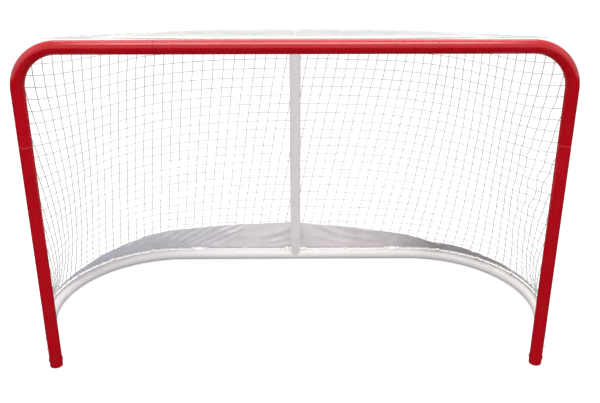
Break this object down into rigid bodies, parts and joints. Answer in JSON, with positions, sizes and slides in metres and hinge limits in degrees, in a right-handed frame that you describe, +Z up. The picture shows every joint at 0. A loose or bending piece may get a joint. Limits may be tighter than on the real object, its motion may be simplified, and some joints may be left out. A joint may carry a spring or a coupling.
{
  "type": "hockey goal",
  "caption": "Tubular steel hockey goal: red posts and crossbar, white curved base frame, rounded top rail, leaning centre post, laced white net and a low cloth skirt.",
  "frame": {"origin": "on the floor, under the middle of the whole goal's box", "axes": "+Z up, +X across the mouth towards the right-hand post as seen from the shooter, +Y from the mouth towards the back of the goal"},
  "size_m": [2.1718, 0.978, 1.267],
  "materials": {
    "red_paint": "satin red powder coat",
    "white_paint": "satin white powder coat",
    "zinc_steel": "zinc plated",
    "black_plastic": "moulded, matt",
    "white_twine": "braided white cord, knotted",
    "white_cloth": "plain woven white cloth, slightly grey"
  },
  "bodies": {
    "root": {"base_back_lacing_wire_left": "white_paint", "base_back_lacing_wire_right": "white_paint", "base_back_screw_left": "zinc_steel", "base_back_screw_right": "zinc_steel", "base_back_tube": "white_paint", "base_foot_screw_left": "zinc_steel", "base_foot_screw_right": "zinc_steel", "base_lacing": "white_twine", "base_side_lacing_wire_left": "white_paint", "base_side_lacing_wire_right": "white_paint", "base_side_tube_left": "white_paint", "base_side_tube_right": "white_paint", "base_sleeve_left": "zinc_steel", "base_sleeve_right": "zinc_steel", "base_socket_left": "red_paint", "base_socket_right": "red_paint", "centre_post": "white_paint", "centre_post_screw_lower": "zinc_steel", "centre_post_screw_upper": "zinc_steel", "centre_post_spigot_lower": "white_paint", "centre_post_spigot_upper": "white_paint", "corner_lacing_wire_left": "red_paint", "corner_lacing_wire_right": "red_paint", "corner_tube_left": "red_paint", "corner_tube_right": "red_paint", "crossbar_lacing": "white_twine", "crossbar_lacing_wire": "red_paint", "crossbar_screw_left": "zinc_steel", "crossbar_screw_right": "zinc_steel", "crossbar_sleeve_left": "zinc_steel", "crossbar_sleeve_right": "zinc_steel", "crossbar_tube": "red_paint", "foot_plug_left": "black_plastic", "foot_plug_right": "black_plastic", "net_back": "white_twine", "net_corner_left": "white_twine", "net_corner_right": "white_twine", "net_side_left": "white_twine", "net_side_right": "white_twine", "net_top": "white_twine", "post_lacing_left": "white_twine", "post_lacing_right": "white_twine", "post_lacing_wire_left": "red_paint", "post_lacing_wire_right": "red_paint", "post_screw_left": "zinc_steel", "post_screw_right": "zinc_steel", "post_sleeve_left": "zinc_steel", "post_sleeve_right": "zinc_steel", "post_tube_left": "red_paint", "post_tube_right": "red_paint", "rail_lacing": "white_twine", "rail_lacing_wire_left": "white_paint", "rail_lacing_wire_right": "white_paint", "rail_screw_left": "zinc_steel", "rail_screw_right": "zinc_steel", "rail_spigot_left": "red_paint", "rail_spigot_right": "red_paint", "rail_tube": "white_paint", "skirt": "white_cloth"}
  },
  "joints": []
}
